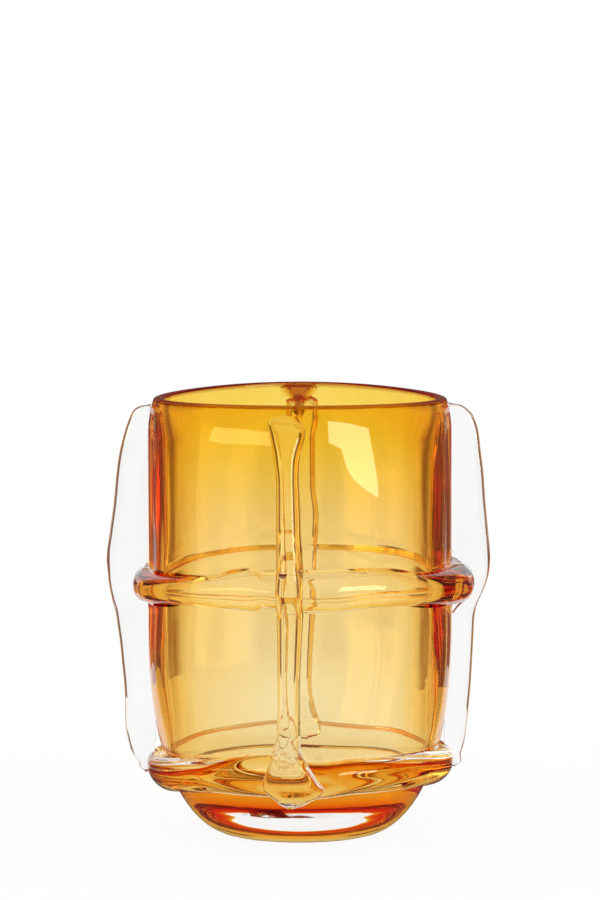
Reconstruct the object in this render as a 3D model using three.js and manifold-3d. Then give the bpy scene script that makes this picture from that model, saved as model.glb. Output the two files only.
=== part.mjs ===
// Hand-blown glass vase: an amber cup cased in clear glass, wrapped by two clear glass bands, with four clear
// glass ribs laid over the bands. Millimetres, +Z up, origin at the centre of the flat foot. The front of the
// vase is -Y. A bearing is measured in degrees from +X towards +Y.
import * as THREE from "three";
import { mergeVertices } from "three/addons/utils/BufferGeometryUtils.js";
import Module from "manifold-3d";

const wasm = await Module();
wasm.setup();

// Outside of the vessel
const RIM_HEIGHT = 200;
const BODY_RADIUS = 69.1;
const FOOT_RADIUS = 29.5;
const BOWL_HEIGHT = 100; // where the rounded bowl reaches the full radius
const BOWL_FULLNESS = 2.5; // the higher, the sooner the bowl reaches the full radius
const LIP_HEIGHT = 16; // how far below the rim the wall starts to draw in
const LIP_DRAW_IN = 3;

// Layers of glass
const CASING_WALL = 2.6;
const LINER_WALL = 1.3;
const BASE_THICKNESS = 24.2; // clear glass below the amber cup
const LINER_FLOOR = 1.3;
const CORNER_HEIGHT = 14; // height of the round corner between the wall and the floor inside
const CLEARANCE = 0.3; // kept between pieces that touch

// Hand-made unevenness
const UPPER_PANEL_BULGE = 1.2;
const LOWER_PANEL_BULGE = 1.8;
const BULGE_AT_MID_BAND = 0.4;
const RIM_FLATNESS = 2.2; // how far the rim is drawn in between two ribs
const RIM_WAVE = 0.8; // how far the rim rises at the front and back, and drops at the sides

// Bands round the vessel: a height at the front and back, and how much it changes towards the sides
const MID_BAND = {
  name: "mid_band",
  height: 116,
  dropAtSides: 2,
  riseToRight: 0,
  thickness: 8.5,
  extraThicknessAtRight: 1.8,
  width: 15.5,
  swellBesideRib: 3,
};
const LOWER_BAND = {
  name: "lower_band",
  height: 32.1,
  dropAtSides: 1.4,
  riseToRight: 0.9,
  thickness: 9,
  extraThicknessAtRight: 0,
  width: 17,
  swellBesideRib: 1,
};

// Ribs over the bands: depths are measured outwards from the wall, and waistDrop is how far below the middle band
// a rib has narrowed to its waist
const RIB_TOP_DROP = 4; // from the rim down to the top of a rib
const RIB_HEAD_HEIGHT = 15;
const RIB_FOOT_HEIGHT = 22;
const RIB_TOP_ROUNDING = 13;
const RIB_END_ROUNDING = 12;
const RIB_BLUNTNESS = 1.5; // keeps the ends of a rib from narrowing to a point
const RIB_CREST_RISE = 6; // how far above the middle band a rib stands out the most
const RIB_EMBED = 1.5; // how far a rib is carried into the wall before it is cut to fit
const RIB_LEAST_DEPTH = 2;
const RIB_OVER_BAND = 3.5; // least glass of a rib over a band
const RIB_HANG_INSET = 2.8; // how far the bowl has drawn in where a rib starts to hang free of it
const RIGHT_RIB = {
  name: "right_rib",
  bearing: 0,
  reachBelowBand: 1,
  width: 11.5,
  headWidth: 13,
  footWidth: 12,
  shoulderDepth: 13.4,
  crestDepth: 17.6,
  waistDepth: 10.4,
  waistDrop: 10,
  tailDepth: 12,
};
const BACK_RIB = {
  name: "back_rib",
  bearing: 89,
  reachBelowBand: 5,
  width: 11.5,
  headWidth: 16,
  footWidth: 20,
  shoulderDepth: 11,
  crestDepth: 15,
  waistDepth: 11,
  waistDrop: 18,
  tailDepth: 12,
};
const LEFT_RIB = {
  name: "left_rib",
  bearing: 180,
  reachBelowBand: 2,
  width: 11.5,
  headWidth: 13,
  footWidth: 12,
  shoulderDepth: 12.6,
  crestDepth: 19,
  waistDepth: 12.6,
  waistDrop: 30,
  tailDepth: 14.4,
};
const FRONT_RIB = {
  name: "front_rib",
  bearing: 265.8,
  reachBelowBand: 16,
  width: 11.2,
  headWidth: 17.5,
  footWidth: 30,
  shoulderDepth: 11,
  crestDepth: 15,
  waistDepth: 11,
  waistDrop: 18,
  tailDepth: 13,
};
const SWELL_START = 8; // degrees from the front rib to where a band starts to swell
const SWELL_PEAK = 18;
const SWELL_END = 50;

// How finely the round shapes are divided
const STEPS_ROUND = 48;
const WALL_RINGS = 15;
const LIP_RINGS = 4;
const CUP_CORNER_RINGS = 6;
const CUP_WALL_RINGS = 6;
const BAND_SECTION_POINTS = 12;
const RIB_SECTION_POINTS = 12;
const RIB_RINGS = 26;

const CLEAR_GLASS = { color: 0xf4f4f2, roughness: 0.03, metalness: 0, transparent: true, opacity: 0.35 };
const AMBER_GLASS = { color: 0xf2a81e, roughness: 0.03, metalness: 0, transparent: true, opacity: 0.7 };

const clamp01 = (value) => THREE.MathUtils.clamp(value, 0, 1);
const degrees = THREE.MathUtils.degToRad;

// Smooth value at a place along a list of [place, value] stops in rising order.
function valueAt(stops, place) {
  let value = stops[0][1];
  for (let i = 1; i < stops.length; i++) {
    const share = THREE.MathUtils.smoothstep(place, stops[i - 1][0], stops[i][0]);
    value += (stops[i][1] - stops[i - 1][1]) * share;
  }
  return value;
}

// Outside radius of the vessel at a height, before the hand-made unevenness.
function outsideRadius(height) {
  const share = clamp01(height / BOWL_HEIGHT);
  const bowl = Math.sqrt(1 - (1 - share) ** BOWL_FULLNESS);
  const lip = clamp01((height - RIM_HEIGHT + LIP_HEIGHT) / LIP_HEIGHT);
  return FOOT_RADIUS + (BODY_RADIUS - FOOT_RADIUS) * bowl - LIP_DRAW_IN * lip ** 2;
}

// Radius of the hollow left inside a wall, above a floor that meets it in a round corner.
function hollowRadius(height, wall, floor) {
  const below = clamp01((floor + CORNER_HEIGHT - height) / CORNER_HEIGHT);
  return (outsideRadius(height) - wall) * Math.sqrt(1 - below ** 2);
}

// How far the wall stands out between two ribs, at its most, for a height.
function panelBulge(height) {
  const halfway = (LOWER_BAND.height + MID_BAND.height) / 2;
  const upperHalfway = (MID_BAND.height + RIM_HEIGHT) / 2;
  return valueAt(
    [
      [LOWER_BAND.height, 0],
      [halfway, LOWER_PANEL_BULGE],
      [MID_BAND.height, BULGE_AT_MID_BAND],
      [upperHalfway, UPPER_PANEL_BULGE],
      [RIM_HEIGHT, -RIM_FLATNESS],
    ],
    height,
  );
}

// A point of the vessel as the hand-made shape moves it, from its bearing in radians, radius and height.
function shapedPoint(bearing, radius, height) {
  const bulge = panelBulge(height) * Math.sin(2 * bearing) ** 2;
  const moved = radius + (bulge * radius) / BODY_RADIUS;
  const lift = -RIM_WAVE * Math.cos(2 * bearing) * clamp01(height / RIM_HEIGHT) ** 3;
  return new THREE.Vector3(moved * Math.cos(bearing), moved * Math.sin(bearing), height + lift);
}

// The shaped outside radius at a bearing and height.
function shapedRadius(bearing, height) {
  const point = shapedPoint(bearing, outsideRadius(height), height);
  return Math.hypot(point.x, point.y);
}

// A closed mesh skinned over rings of points. Each ring goes round the same way, an end ring may be one point,
// and looped joins the last ring to the first. Each four-sided face is folded along its shorter diagonal.
function skinned(rings, looped = false) {
  const points = rings.flat();
  const starts = [0];
  for (const ring of rings) {
    starts.push(starts.at(-1) + ring.length);
  }
  const index = [];
  const spans = looped ? rings.length : rings.length - 1;
  for (let i = 0; i < spans; i++) {
    const next = (i + 1) % rings.length;
    const count = Math.max(rings[i].length, rings[next].length);
    for (let k = 0; k < count; k++) {
      const a = starts[i] + (k % rings[i].length);
      const b = starts[i] + ((k + 1) % rings[i].length);
      const c = starts[next] + ((k + 1) % rings[next].length);
      const d = starts[next] + (k % rings[next].length);
      if (a === b) {
        index.push(a, c, d);
      } else if (c === d) {
        index.push(a, b, c);
      } else if (points[a].distanceTo(points[c]) < points[b].distanceTo(points[d])) {
        index.push(a, b, c, a, c, d);
      } else {
        index.push(a, b, d, b, c, d);
      }
    }
  }
  const geometry = new THREE.BufferGeometry().setFromPoints(points);
  geometry.setIndex(index);
  return geometry;
}

// The centre of a ring, to close its end.
function centreOf(ring) {
  const sum = ring.reduce((total, point) => total.add(point), new THREE.Vector3());
  return [sum.divideScalar(ring.length)];
}

// One ring of the vessel at a radius and height.
function vesselRing(radius, height) {
  const ring = [];
  for (let i = 0; i < STEPS_ROUND; i++) {
    ring.push(shapedPoint((2 * Math.PI * i) / STEPS_ROUND, radius, height));
  }
  return ring;
}

// Rings of the vessel at a list of heights, with their radius worked out from the height.
function ringsAt(heights, radiusAt) {
  return heights.map((height) => vesselRing(radiusAt(height), height));
}

// Heights spread evenly above a start, up to and including an end.
function heightsBetween(start, end, count) {
  return Array.from({ length: count }, (_, i) => THREE.MathUtils.lerp(start, end, (i + 1) / count));
}

// Rings up the outside of the vessel to a top height, grown outwards by an amount. They lie closer near the foot.
function outsideRings(top, growth) {
  const shoulder = RIM_HEIGHT - LIP_HEIGHT;
  const wall = heightsBetween(0, 1, WALL_RINGS).map((share) => shoulder * share ** 2);
  const heights = [0, ...wall, ...heightsBetween(shoulder, top, LIP_RINGS)];
  return ringsAt(heights, (height) => outsideRadius(height) + growth);
}

// Rings up the side of a cup-shaped surface, from a floor to a top height.
function cupRings(wall, floor, top) {
  const shoulder = RIM_HEIGHT - LIP_HEIGHT;
  const cornerTop = floor + CORNER_HEIGHT;
  const corner = heightsBetween(0, 1, CUP_CORNER_RINGS).map((share) => floor + CORNER_HEIGHT * share ** 2);
  const straight = heightsBetween(cornerTop, shoulder, CUP_WALL_RINGS);
  const heights = [...corner, ...straight, ...heightsBetween(shoulder, top, LIP_RINGS)];
  return ringsAt(heights, (height) => hollowRadius(height, wall, floor));
}

// Rings over the round edge of a wall, from its outside to its inside.
function edgeRings(outerWall, innerWall, height) {
  const rings = [];
  const half = (innerWall - outerWall) / 2;
  const middle = outsideRadius(height) - outerWall - half;
  for (let i = 1; i < LIP_RINGS; i++) {
    const turn = (Math.PI * i) / LIP_RINGS;
    rings.push(vesselRing(middle + half * Math.cos(turn), height + half * Math.sin(turn)));
  }
  return rings;
}

function solidFrom(geometry) {
  const bare = geometry.clone();
  bare.deleteAttribute("normal");
  bare.deleteAttribute("uv");
  const merged = mergeVertices(bare, 1e-4);
  const vertProperties = new Float32Array(merged.attributes.position.array);
  const triVerts = new Uint32Array(merged.index.array);
  return new wasm.Manifold(new wasm.Mesh({ numProp: 3, vertProperties, triVerts }));
}

function geometryFrom(solid) {
  const mesh = solid.getMesh();
  const geometry = new THREE.BufferGeometry();
  geometry.setAttribute("position", new THREE.Float32BufferAttribute(mesh.vertProperties, 3));
  geometry.setIndex(Array.from(mesh.triVerts));
  return geometry;
}

function glassMesh(name, geometry, glass) {
  const material = new THREE.MeshStandardMaterial(glass);
  const shaded = geometry.index ? geometry.toNonIndexed() : geometry;
  shaded.computeVertexNormals();
  const mesh = new THREE.Mesh(shaded, material);
  mesh.name = name;
  return mesh;
}

// Clear outer layer with the thick base.
function clearCasing() {
  const edge = RIM_HEIGHT - CASING_WALL / 2;
  const outside = outsideRings(edge, 0);
  const inside = cupRings(CASING_WALL, BASE_THICKNESS, edge).reverse();
  const foot = [new THREE.Vector3(0, 0, 0)];
  const floor = [new THREE.Vector3(0, 0, BASE_THICKNESS)];
  const rings = [foot, ...outside, ...edgeRings(0, CASING_WALL, edge), ...inside, floor];
  return glassMesh("clear_casing", skinned(rings), CLEAR_GLASS);
}

// Amber cup inside the casing.
function amberLiner() {
  const edge = RIM_HEIGHT - CASING_WALL / 2;
  const outerWall = CASING_WALL + CLEARANCE;
  const innerWall = outerWall + LINER_WALL;
  const underside = BASE_THICKNESS + CLEARANCE;
  const top = underside + LINER_FLOOR;
  const outside = cupRings(outerWall, underside, edge);
  const inside = cupRings(innerWall, top, edge).reverse();
  const pole = [new THREE.Vector3(0, 0, underside)];
  const floor = [new THREE.Vector3(0, 0, top)];
  const rings = [pole, ...outside, ...edgeRings(outerWall, innerWall, edge), ...inside, floor];
  return glassMesh("amber_liner", skinned(rings), AMBER_GLASS);
}

// The vessel filled solid and grown by the clearance, to cut what lies on it.
function vesselCutter() {
  const rings = outsideRings(RIM_HEIGHT + CLEARANCE, CLEARANCE);
  const below = [new THREE.Vector3(0, 0, -CLEARANCE)];
  const above = [new THREE.Vector3(0, 0, RIM_HEIGHT + CLEARANCE)];
  return solidFrom(skinned([below, ...rings, above]));
}

// Share of a band's swelling at a bearing: it rises and falls on both sides of the front rib.
function swellShare(bearing) {
  const away = Math.abs(bearing - degrees(FRONT_RIB.bearing));
  const rise = THREE.MathUtils.smoothstep(away, degrees(SWELL_START), degrees(SWELL_PEAK));
  const fall = THREE.MathUtils.smoothstep(away, degrees(SWELL_PEAK), degrees(SWELL_END));
  return rise * (1 - fall);
}

// Height of the middle of a band at a bearing.
function bandHeight(band, bearing) {
  return band.height - band.dropAtSides * Math.cos(2 * bearing) + band.riseToRight * Math.cos(bearing);
}

// How far a band stands out from the wall, and half its width, at a bearing.
function bandSize(band, bearing) {
  const depth = band.thickness + band.extraThicknessAtRight * Math.cos(bearing);
  const half = (band.width + band.swellBesideRib * swellShare(bearing)) / 2;
  return { depth, half };
}

// One section of a band, grown by an amount all round. Its inner half lies in the wall.
function bandSection(band, bearing, growth) {
  const height = bandHeight(band, bearing);
  const wall = shapedRadius(bearing, height);
  const { depth, half } = bandSize(band, bearing);
  const section = [];
  for (let k = 0; k < BAND_SECTION_POINTS; k++) {
    const turn = (2 * Math.PI * k) / BAND_SECTION_POINTS;
    const radius = wall + (depth + growth) * Math.cos(turn);
    const level = height + (half + growth) * Math.sin(turn);
    section.push(new THREE.Vector3(radius * Math.cos(bearing), radius * Math.sin(bearing), level));
  }
  return section;
}

// Outer radius of what a rib lies on at a bearing and height: the wall or a band.
function laidRadius(bearing, height) {
  let radius = shapedRadius(bearing, height);
  for (const band of [MID_BAND, LOWER_BAND]) {
    const middle = bandHeight(band, bearing);
    const { depth, half } = bandSize(band, bearing);
    const level = (height - middle) / half;
    if (Math.abs(level) < 1) {
      radius = Math.max(radius, shapedRadius(bearing, middle) + depth * Math.sqrt(1 - level ** 2));
    }
  }
  return radius;
}

function bandSolid(band, growth) {
  const sections = [];
  for (let i = STEPS_ROUND; i > 0; i--) {
    sections.push(bandSection(band, (2 * Math.PI * i) / STEPS_ROUND, growth));
  }
  return solidFrom(skinned(sections, true));
}

function ribTop() {
  return RIM_HEIGHT - RIB_TOP_DROP;
}

function ribBottom(rib) {
  return bandHeight(LOWER_BAND, degrees(rib.bearing)) - rib.reachBelowBand;
}

// Share of full size at a distance from a round end.
function roundedShare(distance, rounding) {
  const short = 1 - clamp01(distance / rounding);
  return Math.sqrt(1 - short ** 2);
}

// Outer radius of a rib at a height: it stands out from the wall, and covers the bands.
function ribOuterRadius(rib, height) {
  const bearing = degrees(rib.bearing);
  const depth = valueAt(
    [
      [ribBottom(rib) + RIB_END_ROUNDING, rib.tailDepth],
      [(LOWER_BAND.height + MID_BAND.height) / 2, rib.waistDepth],
      [MID_BAND.height - rib.waistDrop, rib.waistDepth],
      [MID_BAND.height + RIB_CREST_RISE, rib.crestDepth],
      [ribTop() - RIB_HEAD_HEIGHT, rib.shoulderDepth],
    ],
    height,
  );
  const topShare = roundedShare(ribTop() - height, RIB_TOP_ROUNDING);
  const share = topShare * roundedShare(height - ribBottom(rib), RIB_END_ROUNDING);
  const overWall = shapedRadius(bearing, height) + depth * share;
  return Math.max(overWall, laidRadius(bearing, height) + RIB_OVER_BAND * share);
}

// Width of a rib at a height: its head and its foot flare.
function ribWidth(rib, height) {
  const along = valueAt(
    [
      [ribBottom(rib) + RIB_END_ROUNDING, rib.footWidth],
      [ribBottom(rib) + RIB_END_ROUNDING + RIB_FOOT_HEIGHT, rib.width],
      [ribTop() - 2 * RIB_HEAD_HEIGHT, rib.width],
      [ribTop() - RIB_HEAD_HEIGHT / 2, rib.headWidth],
    ],
    height,
  );
  const topShare = roundedShare(ribTop() + RIB_BLUNTNESS - height, RIB_TOP_ROUNDING);
  return along * topShare * roundedShare(height + RIB_BLUNTNESS - ribBottom(rib), RIB_END_ROUNDING);
}

// Inner radius of a rib at a height, before it is cut to fit: it hangs straight down to the lower band where the
// bowl draws away from it.
function ribInnerRadius(rib, height) {
  const bearing = degrees(rib.bearing);
  const embedded = shapedRadius(bearing, height) - RIB_EMBED;
  const hangs = height > bandHeight(LOWER_BAND, bearing) && height < BOWL_HEIGHT;
  const inner = hangs ? Math.max(embedded, BODY_RADIUS - RIB_HANG_INSET) : embedded;
  return Math.min(inner, ribOuterRadius(rib, height) - RIB_LEAST_DEPTH);
}

// One level section of a rib.
function ribSection(rib, height) {
  const bearing = degrees(rib.bearing);
  const outer = ribOuterRadius(rib, height);
  const inner = ribInnerRadius(rib, height);
  const half = ribWidth(rib, height) / 2;
  const section = [];
  for (let k = 0; k < RIB_SECTION_POINTS; k++) {
    const turn = (2 * Math.PI * k) / RIB_SECTION_POINTS;
    const radius = (outer + inner) / 2 + ((outer - inner) / 2) * Math.cos(turn);
    const across = half * Math.sin(turn);
    const x = radius * Math.cos(bearing) - across * Math.sin(bearing);
    const y = radius * Math.sin(bearing) + across * Math.cos(bearing);
    section.push(new THREE.Vector3(x, y, height));
  }
  return section;
}

// A rib before it is cut to fit, with its sections closer towards the ends.
function ribSolid(rib) {
  const sections = [];
  for (let i = 0; i <= RIB_RINGS; i++) {
    const share = (1 - Math.cos((Math.PI * i) / RIB_RINGS)) / 2;
    sections.push(ribSection(rib, THREE.MathUtils.lerp(ribBottom(rib), ribTop(), share)));
  }
  return solidFrom(skinned([centreOf(sections[0]), ...sections, centreOf(sections[RIB_RINGS])]));
}

const vase = new THREE.Group();
vase.add(amberLiner());
vase.add(clearCasing());

const vessel = vesselCutter();
for (const band of [MID_BAND, LOWER_BAND]) {
  const fitted = bandSolid(band, 0).subtract(vessel);
  vase.add(glassMesh(band.name, geometryFrom(fitted), CLEAR_GLASS));
}

const beneathRibs = vessel.add(bandSolid(MID_BAND, CLEARANCE)).add(bandSolid(LOWER_BAND, CLEARANCE));
for (const rib of [FRONT_RIB, BACK_RIB, LEFT_RIB, RIGHT_RIB]) {
  const fitted = ribSolid(rib).subtract(beneathRibs);
  vase.add(glassMesh(rib.name, geometryFrom(fitted), CLEAR_GLASS));
}

export default vase;
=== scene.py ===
"""Hand-blown glass vase: an amber cup cased in clear glass, ringed by two clear bands under four clear ribs.

Sizes are in millimetres, and a mesh is built in metres. A bearing is in degrees from +X towards +Y, so the
front of the vase, -Y, lies at 270. Where two pieces are fused, the attribute "fused" on both makes their
hidden faces clear, so that light passes straight on from one glass to the next. It is above 0 inside the join
and below 0 in the open. The attribute "dark" is painted shade: it says from 0 to 1 how far the amber is
darkened along the rim, at two of the rim's corners and in its pinch.
"""

import bisect
import logging
import math
from dataclasses import dataclass, field
from enum import Enum
from typing import Callable, Protocol

import bpy
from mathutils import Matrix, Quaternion, Vector, noise


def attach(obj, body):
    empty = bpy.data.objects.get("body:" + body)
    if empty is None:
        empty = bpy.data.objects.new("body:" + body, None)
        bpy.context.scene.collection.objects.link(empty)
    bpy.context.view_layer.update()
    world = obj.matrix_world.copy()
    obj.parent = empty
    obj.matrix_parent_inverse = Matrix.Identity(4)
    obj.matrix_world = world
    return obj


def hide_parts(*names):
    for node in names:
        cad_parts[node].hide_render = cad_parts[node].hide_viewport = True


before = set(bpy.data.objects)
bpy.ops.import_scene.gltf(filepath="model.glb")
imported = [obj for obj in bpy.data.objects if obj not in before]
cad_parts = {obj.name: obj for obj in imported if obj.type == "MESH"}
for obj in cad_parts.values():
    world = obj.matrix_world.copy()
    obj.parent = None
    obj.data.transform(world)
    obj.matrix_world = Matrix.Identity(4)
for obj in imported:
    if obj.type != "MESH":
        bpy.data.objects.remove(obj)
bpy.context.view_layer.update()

FRONT = 270.0
BACK = 90.0
MM = 0.001
# A point this near the axis of a tube of radius 1 is one of its poles.
POLE = 0.01
# Depth in a join from which a face is clear, in millimetres.
JOIN_STARTS = 0.0001
# The cords of flow run upwards, so their pattern is drawn out in Z. Streaks show where it is high.
FLOW_STRETCH = (1.0, 1.0, 0.35)
STREAK_EDGES = (0.52, 0.72)
Pair = tuple[float, float]
Stops = tuple[Pair, ...]
Colour = tuple[float, float, float]
Round = Callable[[float], float]
log = logging.getLogger("glass_vase")


def clamp01(value: float) -> float:
    """Value held between 0 and 1."""
    return min(1.0, max(0.0, value))


def smoothstep(value: float, start: float, end: float) -> float:
    """Smooth share of the way from start to end."""
    share = clamp01((value - start) / (end - start))
    return share * share * (3 - 2 * share)


def turned(bearing: float, start: float) -> float:
    """Degrees from one bearing to another the short way round, above 0 towards rising bearings."""
    return (bearing - start + 180) % 360 - 180


@dataclass(frozen=True)
class Course:
    """A size that runs smoothly through set values along a length or round the vase."""

    stops: Stops

    def slope(self, i: int) -> float:
        """Slope of the course at a stop, kept level at a peak.

        Args:
            i: Number of the stop.

        Returns:
            Change of value for one unit of place.
        """
        if i in (0, len(self.stops) - 1):
            return 0.0
        (x0, v0), (x1, v1), (x2, v2) = self.stops[i - 1 : i + 2]
        before = (v1 - v0) / (x1 - x0)
        after = (v2 - v1) / (x2 - x1)
        if before * after <= 0:
            return 0.0
        return 2 * before * after / (before + after)

    def at(self, place: float) -> float:
        """Value at a place, level beyond the first and last stop.

        Args:
            place: Where along the course.

        Returns:
            The value there.
        """
        if place <= self.stops[0][0]:
            return self.stops[0][1]
        if place >= self.stops[-1][0]:
            return self.stops[-1][1]
        i = bisect.bisect_right(self.stops, (place, math.inf)) - 1
        (x0, v0), (x1, v1) = self.stops[i], self.stops[i + 1]
        span = x1 - x0
        t = (place - x0) / span
        rise = t * t * (3 - 2 * t)
        lead = self.slope(i) * span * t * (1 - t) ** 2
        tail = -self.slope(i + 1) * span * t * t * (1 - t)
        return v0 + (v1 - v0) * rise + lead + tail

    def mirrored(self) -> "Course":
        """The same course on the other side of 0."""
        return Course(tuple((place, -value) for place, value in self.stops))

    def around(self, bearing: float) -> float:
        """Value at a bearing, for a course whose stops go once round from 0 to 360 degrees."""
        return self.at(bearing % 360)


class Skin(Enum):
    """The three skins of the wall: the outside, the seam between the layers, and the inside."""

    OUTSIDE = 0
    SEAM = 1
    INSIDE = 2


@dataclass(frozen=True)
class Vessel:
    """Shape of the blown vessel that all pieces follow.

    A pair named after a rise, fall, reach or start gives where a smooth change begins and where it ends.
    """

    rim_height: float = 200.0
    body_radius: float = 69.1
    foot_radius: float = 29.5
    bowl_height: float = 100.0
    bowl_fullness: float = 2.5
    lip_height: float = 16.0
    lip_draw_in: float = 3.0
    casing_wall: float = 2.6
    base_thickness: float = 23.7
    liner_floor: float = 0.7
    corner_height: float = 14.0
    cap_height: float = 1.6
    rim_flatness: float = 2.2
    rim_wave: float = 0.8
    band_heights: Pair = (32.1, 116.0)
    bulges: tuple[float, float, float] = (1.8, 0.4, 1.2)
    liner_wall: Course = Course(
        ((12, 0.85), (32, 0.85), (48, 0.8), (105, 1.1), (135, 1.3), (160, 1.6), (182, 2.1), (197, 2.6))
    )
    waves: tuple[float, float, float] = (0.22, 0.10, 0.30)
    wave_length: float = 30.0
    wave_stretch: float = 0.8
    wave_offset: float = 7.3
    wave_rise: Pair = (8.0, 40.0)
    wave_fall: Pair = (186.0, 200.0)
    amber_gather: float = 1.3
    gather_spread: Pair = (10.0, 52.0)
    gather_rise: Pair = (24.0, 60.0)
    gather_fall: Pair = (180.0, 198.0)
    low_gather: float = 0.55
    low_bearing: float = 226.0
    low_reach: Pair = (12.0, 55.0)
    low_fall: Pair = (40.0, 66.0)
    pinch_bearing: float = 90.5
    pinch_depth: float = 6.0
    pinch_width: float = 1.6
    pinch_flare: float = 9.4
    pinch_core: float = 0.35
    pinch_start: Pair = (184.0, 190.0)
    flare_rise: Pair = (188.0, 198.5)
    # Painted shade darkens the amber in a band under the rim, deeper at two of the rim's corners: depths and
    # heights in millimetres, corners and reach in degrees.
    rim_shade_depth: float = 0.9
    rim_shade_start: float = 1.4
    rim_shade_full: float = 1.6
    shaded_corners: Pair = (208.0, 337.0)
    corner_shade_reach: Pair = (4.0, 24.0)
    corner_shade_depth: float = 4.2

    def bulge(self, height: float) -> float:
        """How far the wall stands out between two ribs, at its most.

        Args:
            height: Level on the wall.

        Returns:
            The bulge in millimetres.
        """
        low, mid = self.band_heights
        under, at_band, over = self.bulges
        stops = (
            (low, 0.0),
            ((low + mid) / 2, under),
            (mid, at_band),
            ((mid + self.rim_height) / 2, over),
            (self.rim_height, -self.rim_flatness),
        )
        value = stops[0][1]
        for (x0, v0), (x1, v1) in zip(stops, stops[1:]):
            value += (v1 - v0) * smoothstep(height, x0, x1)
        return value

    def plain_radius(self, height: float) -> float:
        """Outside radius before the hand-made unevenness.

        Args:
            height: Level on the wall.

        Returns:
            The radius in millimetres.
        """
        share = clamp01(height / self.bowl_height)
        bowl = math.sqrt(1 - (1 - share) ** self.bowl_fullness)
        lip = clamp01((height - self.rim_height + self.lip_height) / self.lip_height)
        return self.foot_radius + (self.body_radius - self.foot_radius) * bowl - self.lip_draw_in * lip**2

    def hollow(self, height: float, wall: float, floor: float) -> float:
        """Radius of the hollow inside a wall, over a floor that meets it in a round corner.

        Args:
            height: Level of the hollow.
            wall: Glass between the hollow and the outside.
            floor: Level of the hollow's floor.

        Returns:
            The hollow's radius, 0 at its floor.
        """
        below = clamp01((floor + self.corner_height - height) / self.corner_height)
        return (self.plain_radius(height) - wall) * math.sqrt(max(0.0, 1 - below**2))

    def skin_radius(self, skin: Skin, height: float) -> float:
        """Radius of a skin of the wall before the hand-made unevenness.

        Args:
            skin: The skin.
            height: Level on the wall.

        Returns:
            The radius in millimetres.
        """
        if skin is Skin.OUTSIDE:
            return self.plain_radius(height)
        if skin is Skin.SEAM:
            return self.hollow(height, self.casing_wall, self.base_thickness)
        wall = self.casing_wall + self.liner_wall.at(height)
        return self.hollow(height, wall, self.base_thickness + self.liner_floor)

    def wave(self, skin: Skin, bearing: float, height: float) -> float:
        """Slow waves that the blowing leaves in a skin.

        Args:
            skin: The skin.
            bearing: Direction of the point.
            height: Its level.

        Returns:
            How far the skin stands out there, in millimetres.
        """
        turn = math.radians(bearing)
        x, y = self.body_radius * math.cos(turn), self.body_radius * math.sin(turn)
        spot = Vector((x, y, height * self.wave_stretch))
        spot = spot / self.wave_length + Vector((0, 0, self.wave_offset * skin.value))
        fade = smoothstep(height, *self.wave_rise) * (1 - smoothstep(height, *self.wave_fall))
        return self.waves[skin.value] * fade * noise.noise(spot)

    def gathered(self, bearing: float, height: float) -> float:
        """Extra amber inside the wall: behind the side ribs, low at the front left, and in the rim's pinch.

        Args:
            bearing: Direction of the point.
            height: Its level.

        Returns:
            The extra thickness in millimetres.
        """
        from_side = min(bearing % 180, 180 - bearing % 180)
        spread = 1 - smoothstep(from_side, *self.gather_spread)
        sides = self.amber_gather * spread * smoothstep(height, *self.gather_rise)
        sides = sides * (1 - smoothstep(height, *self.gather_fall))
        pinch = self.pinch_depth * self.pinched(bearing, height)
        from_low = abs(turned(bearing, self.low_bearing))
        low = self.low_gather * (1 - smoothstep(from_low, *self.low_reach))
        low = low * (1 - smoothstep(height, *self.low_fall))
        return sides + pinch + low

    def pinched(self, bearing: float, height: float) -> float:
        """How much a point of the wall belongs to the pinch in the rim at the back.

        Args:
            bearing: Direction of the point.
            height: Its level.

        Returns:
            Share from 0 beside the pinch to 1 in its middle.
        """
        aside = abs(turned(bearing, self.pinch_bearing)) * math.radians(self.body_radius)
        reach = self.pinch_width + self.pinch_flare * smoothstep(height, *self.flare_rise)
        return (1 - smoothstep(aside, self.pinch_core * reach, reach)) * smoothstep(height, *self.pinch_start)

    def rim_shade_share(self, bearing: float, height: float) -> float:
        """Painted shade on the amber at a point: a band under the rim, deeper at two of its corners, and the
        pinch.

        Args:
            bearing: Direction of the point.
            height: Its level.

        Returns:
            Share from 0 for the plain amber to 1.
        """
        # Painted shade: a band under the rim that deepens at two of the rim's corners, and the pinch at its
        # full share.
        depth = self.rim_shade_depth
        for corner in self.shaded_corners:
            aside = abs(turned(bearing, corner))
            depth += self.corner_shade_depth * (1 - smoothstep(aside, *self.corner_shade_reach))
        rim_shade = smoothstep(height, self.rim_height - self.rim_shade_start - depth, self.rim_height - self.rim_shade_full)
        return max(rim_shade, self.pinched(bearing, height))

    def shaped(self, skin: Skin, bearing: float, radius: float, height: float) -> Vector:
        """Where the hand-made shape puts a point of the vessel.

        Args:
            skin: Skin that the point lies on.
            bearing: Direction of the point.
            radius: Its radius before the shape.
            height: Its height before the shape.

        Returns:
            The point in millimetres.
        """
        turn = math.radians(bearing)
        bulge = self.bulge(height) * math.sin(2 * turn) ** 2
        share = radius / self.body_radius
        moved = radius + bulge * share + self.wave(skin, bearing, height) * share
        if skin is Skin.INSIDE:
            moved -= self.gathered(bearing, height) * share
        lift = -self.rim_wave * math.cos(2 * turn) * clamp01(height / self.rim_height) ** 3
        return Vector((moved * math.cos(turn), moved * math.sin(turn), height + lift))

    def wall_radius(self, bearing: float, height: float) -> float:
        """Shaped outside radius at a bearing and height."""
        point = self.shaped(Skin.OUTSIDE, bearing, self.plain_radius(height), height)
        return math.hypot(point.x, point.y)


def steady(value: float) -> Round:
    """The same value at every turn."""
    return lambda turn: value


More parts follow.
